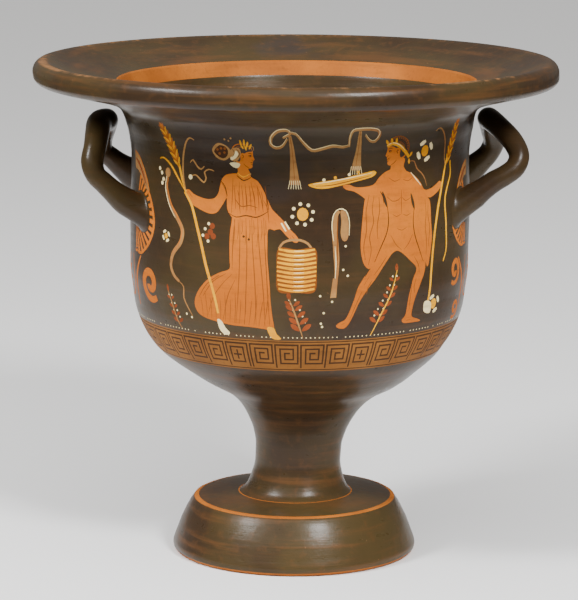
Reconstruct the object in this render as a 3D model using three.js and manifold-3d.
// Bell krater: a wide mixing bowl of fired clay on a stemmed disc foot, with a flaring lip and two
// loop handles. It is turned and luted together and fired as one, so it is one solid, hollow inside
// and under the foot. Millimetres, +Z up, origin at the middle of the foot's underside.
import * as THREE from 'three';
import { mergeVertices } from 'three/addons/utils/BufferGeometryUtils.js';
import Module from 'manifold-3d';

const LIP_RADIUS = 200;
const LIP_CREST_RADIUS = 193.6;
const TOTAL_HEIGHT = 381.5;
const WALL_THICKNESS = 7.6;
const LEDGE_INNER_RADIUS = 136;
const LEDGE_HEIGHT = 366;
const BOWL_FLOOR_HEIGHT = 127.5;
const FOOT_RADIUS = 94.1;
const FOOT_RING_RADIUS = 91;
const FOOT_RING_WIDTH = 12;
const FOOT_TOP_RADIUS = 77.4;
const FOOT_TOP_HEIGHT = 41.8;
const STEM_BASE_HEIGHT = 45.5;
const STEM_BASE_RADIUS = 41.8;
const HOLLOW_HEIGHT = 68;
const TURN_SEGMENTS = 60;
const HANDLE_SIDES = 12;
const HANDLE_STEPS = 32;

// Outer wall from the lip's edge down to the stem's base: height and radius.
const OUTER_WALL = [
  [373.3, LIP_RADIUS], [369, 199.7], [365, 196.8], [361, 182.2], [357, 165.5], [353, 151.4],
  [349, 141.3], [345, 136.3], [340, 134], [330, 131.7], [310, 129], [268, 130.2], [225, 129.7],
  [208, 127.9], [195, 126.2], [184, 122.9], [174, 118.3], [165, 112.4], [157, 105.8], [150, 97.6],
  [143, 88.4], [137, 80.4], [131, 70.9], [124, 58], [115, 47.8], [105, 41.1], [94, 36.1],
  [82, 33.4], [70, 33.1], [58, 35.6], [50, 38.8], [STEM_BASE_HEIGHT, STEM_BASE_RADIUS],
];

// The turned sections wander a little off the middle: height and sideways shift.
const LEAN = [[373.3, 0], [330, 3.5], [290, 3.7], [230, 3.2], [165, 3.2], [145, 6.1], [130, 8.6],
  [110, 5.7], [82, 3.4], [50, 1.7], [40, 0]];

// Handle centre lines from the front root round the loop to the back root: x, y, z, tube radius.
const LEFT_HANDLE = [
  [-109.2, -52, 267.5, 12.8], [-118.9, -52, 274.3, 11.6], [-129, -51.5, 280.3, 10.2],
  [-137.2, -51, 287.1, 8.6], [-144, -50.5, 293.3, 8], [-150, -50, 299.3, 7.9],
  [-152.6, -48, 308.5, 8.5], [-150.8, -42, 319, 8.6], [-149.7, -30, 328.1, 9.2],
  [-149.1, -14, 333.6, 9.4], [-145, 0, 334.2, 9], [-145, 16, 331.4, 8.5], [-147, 30, 324.2, 8.1],
  [-150.4, 42, 314.1, 8.2], [-150.5, 48, 304.7, 8.2], [-144, 50, 298.9, 8],
  [-135.9, 51, 292.1, 9.5], [-127, 52, 286.1, 12.1], [-117.7, 53, 281.3, 13.3],
];
const RIGHT_HANDLE = [
  [117.6, -52, 270.7, 12.8], [125.7, -52, 277.6, 12], [132.8, -51.5, 283.6, 10.4],
  [141, -51, 289.6, 8.6], [148.8, -50.5, 295.2, 8.2], [157.4, -50, 300.1, 7.8],
  [164.9, -48, 305.9, 7.8], [167.7, -44, 314.5, 7.8], [163.1, -35, 324.1, 8],
  [155.5, -20, 331.3, 8.2], [147.8, 0, 336.4, 8.5], [148.4, 14, 333.2, 8.1],
  [151.5, 30, 323.9, 8.2], [154.4, 43, 313.8, 8.4], [151, 49, 303.9, 8.3], [144.6, 50, 296.9, 9],
  [136.5, 51, 289.6, 10.9], [128.1, 52, 283.2, 12.5], [118.5, 53, 277, 13.5],
];

function lookUp(table, key) {
  const rows = [...table].sort((a, b) => a[0] - b[0]);
  if (key <= rows[0][0]) return rows[0][1];
  for (let i = 1; i < rows.length; i += 1) {
    if (key <= rows[i][0]) {
      const share = (key - rows[i - 1][0]) / (rows[i][0] - rows[i - 1][0]);
      return THREE.MathUtils.lerp(rows[i - 1][1], rows[i][1], share);
    }
  }
  return rows[rows.length - 1][1];
}

// The inner wall keeps one thickness behind the outer wall, measured square to it.
function innerWall() {
  const curve = new THREE.CatmullRomCurve3(
    OUTER_WALL.filter(([z]) => z <= 345 && z >= 120).map(([z, r]) => new THREE.Vector3(r, z, 0)),
  );
  const steps = 11;
  const points = [];
  for (let i = 0; i <= steps; i += 1) {
    const place = curve.getPointAt(i / steps);
    const along = curve.getTangentAt(i / steps);
    points.push(new THREE.Vector2(place.x + along.y * WALL_THICKNESS,
      place.y - along.x * WALL_THICKNESS));
  }
  return points;
}

function lipTop() {
  const dish = [];
  const steps = 4;
  for (let i = 0; i <= steps; i += 1) {
    const share = i / steps;
    const radius = THREE.MathUtils.lerp(LIP_CREST_RADIUS, LEDGE_INNER_RADIUS, share);
    const sag = 1.6 * Math.sin(Math.PI * share);
    dish.push(new THREE.Vector2(radius,
      THREE.MathUtils.lerp(TOTAL_HEIGHT, LEDGE_HEIGHT, share) - sag));
  }
  return dish;
}

function vesselProfile() {
  const ringInner = FOOT_RING_RADIUS - FOOT_RING_WIDTH;
  const hollow = [[0, HOLLOW_HEIGHT], [11, HOLLOW_HEIGHT - 4], [18, 54], [24, 42], [34, 34],
    [54, 30], [68, 22], [ringInner - 2, 6], [ringInner, 0]];
  const foot = [[FOOT_RING_RADIUS, 0], [FOOT_RADIUS - 0.6, 2.2], [FOOT_RADIUS, 6],
    [87.4, 22], [FOOT_TOP_RADIUS + 1.4, 39], [FOOT_TOP_RADIUS - 0.8, FOOT_TOP_HEIGHT],
    [58, 43.9], [STEM_BASE_RADIUS + 2, 44.6]];
  const outer = OUTER_WALL.map(([z, r]) => [r, z]).reverse();
  const brim = [[LIP_RADIUS - 0.9, 377.2], [LIP_RADIUS - 3, 380.3]];
  const points = [...hollow, ...foot, ...outer, ...brim].map(([r, z]) => new THREE.Vector2(r, z));
  points.push(...lipTop(), ...innerWall());
  points.push(new THREE.Vector2(34, BOWL_FLOOR_HEIGHT + 2.4));
  points.push(new THREE.Vector2(0, BOWL_FLOOR_HEIGHT));
  return points;
}

// A plug that ends halfway through the wall trims the handles' roots, so none shows inside.
function trimProfile() {
  const halfway = OUTER_WALL.filter(([z]) => z <= 345 && z >= 208)
    .map(([z, r]) => new THREE.Vector2(r - WALL_THICKNESS / 2, z));
  const top = halfway[0];
  const bottom = halfway[halfway.length - 1];
  return [new THREE.Vector2(0, bottom.y), ...halfway.reverse(), new THREE.Vector2(0, top.y)];
}

function turnedGeometry(profile) {
  const geometry = new THREE.LatheGeometry(profile, TURN_SEGMENTS);
  geometry.rotateX(Math.PI / 2);
  const position = geometry.attributes.position;
  for (let i = 0; i < position.count; i += 1) {
    const lean = lookUp(LEAN, position.getZ(i));
    position.setX(i, position.getX(i) + lean);
  }
  return geometry;
}

// A round tube of unit radius is run along the centre line, then each ring is swelled to the
// handle's own thickness there, which grows towards the two roots.
function handleGeometry(stations) {
  const line = new THREE.CatmullRomCurve3(
    stations.map(([x, y, z]) => new THREE.Vector3(x, y, z)),
    false,
    'centripetal',
  );
  const round = new THREE.Shape();
  for (let i = 0; i < HANDLE_SIDES; i += 1) {
    const turn = (2 * Math.PI * i) / HANDLE_SIDES;
    if (i === 0) round.moveTo(Math.cos(turn), Math.sin(turn));
    else round.lineTo(Math.cos(turn), Math.sin(turn));
  }
  round.closePath();
  const geometry = new THREE.ExtrudeGeometry(round, {
    steps: HANDLE_STEPS,
    extrudePath: line,
    bevelEnabled: false,
  });
  const middles = line.getSpacedPoints(HANDLE_STEPS);
  const radii = middles.map((middle) => {
    let weightSum = 0;
    let radiusSum = 0;
    for (const [x, y, z, radius] of stations) {
      const weight = Math.exp(-middle.distanceToSquared(new THREE.Vector3(x, y, z)) / 72);
      weightSum += weight;
      radiusSum += weight * radius;
    }
    return radiusSum / weightSum;
  });
  const position = geometry.attributes.position;
  const vertex = new THREE.Vector3();
  for (let i = 0; i < position.count; i += 1) {
    vertex.fromBufferAttribute(position, i);
    let nearest = 0;
    for (let k = 1; k < middles.length; k += 1) {
      const closer = Math.abs(vertex.distanceTo(middles[k]) - 1);
      if (closer < Math.abs(vertex.distanceTo(middles[nearest]) - 1)) nearest = k;
    }
    vertex.sub(middles[nearest]).multiplyScalar(radii[nearest]).add(middles[nearest]);
    position.setXYZ(i, vertex.x, vertex.y, vertex.z);
  }
  return geometry;
}

const wasm = await Module();
wasm.setup();

function toSolid(geometry) {
  const bare = geometry.clone();
  bare.deleteAttribute('normal');
  bare.deleteAttribute('uv');
  const merged = mergeVertices(bare, 1e-4);
  const corners = [];
  const index = merged.index.array;
  for (let i = 0; i < index.length; i += 3) {
    const [a, b, c] = [index[i], index[i + 1], index[i + 2]];
    if (a !== b && b !== c && c !== a) corners.push(a, b, c);
  }
  return new wasm.Manifold(new wasm.Mesh({
    numProp: 3,
    vertProperties: new Float32Array(merged.attributes.position.array),
    triVerts: new Uint32Array(corners),
  }));
}

function toGeometry(solid) {
  const mesh = solid.getMesh();
  const geometry = new THREE.BufferGeometry();
  geometry.setAttribute('position', new THREE.BufferAttribute(mesh.vertProperties, 3));
  geometry.setIndex(new THREE.BufferAttribute(mesh.triVerts, 1));
  geometry.computeVertexNormals();
  return geometry;
}

const vessel = toSolid(turnedGeometry(vesselProfile()));
const plug = toSolid(turnedGeometry(trimProfile()));
const joined = vessel
  .add(toSolid(handleGeometry(LEFT_HANDLE)).subtract(plug))
  .add(toSolid(handleGeometry(RIGHT_HANDLE)).subtract(plug));

const glazedClay = new THREE.MeshStandardMaterial({
  color: 0x3b3026,
  roughness: 0.35,
  metalness: 0,
});
const krater = new THREE.Mesh(toGeometry(joined), glazedClay);
krater.name = 'krater';

const group = new THREE.Group();
group.name = 'bell_krater';
group.add(krater);

export default group;
